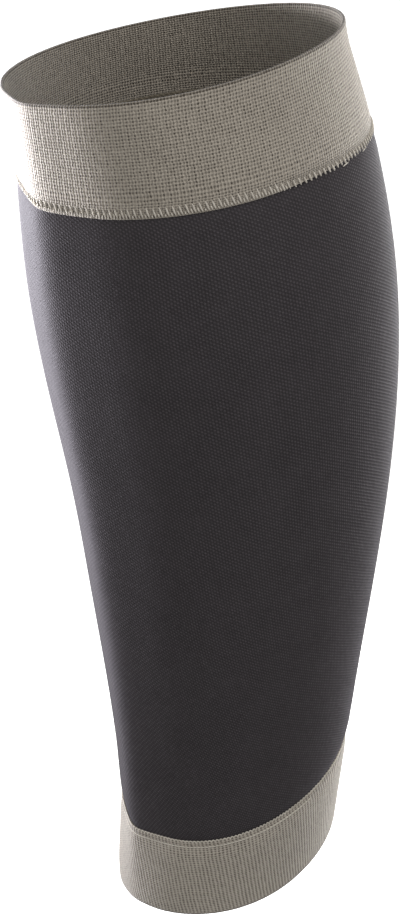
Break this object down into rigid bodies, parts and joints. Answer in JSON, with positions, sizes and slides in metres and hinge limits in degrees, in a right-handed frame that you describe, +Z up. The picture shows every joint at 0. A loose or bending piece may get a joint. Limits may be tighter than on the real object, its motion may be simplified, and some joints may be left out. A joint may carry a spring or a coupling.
{
  "type": "calf compression sleeve",
  "caption": "Knitted compression sleeve for the left lower leg: a dark tube in the form of the calf, with a light elastic cuff under the knee and another at the ankle, both sewn on.",
  "frame": {"origin": "centre of the ankle opening", "axes": "+Z up the leg, -Y the shin, +Y the calf, +X the outer side of a left leg"},
  "size_m": [0.1198, 0.1251, 0.3007],
  "materials": {
    "body_knit": "fine matt knit",
    "cuff_knit": "matt ribbed elastic knit",
    "seam_thread": "matt thread"
  },
  "bodies": {
    "root": {"sleeve_body": "body_knit", "top_cuff": "cuff_knit", "bottom_cuff": "cuff_knit", "top_seam": "seam_thread", "bottom_seam": "seam_thread"}
  },
  "joints": []
}
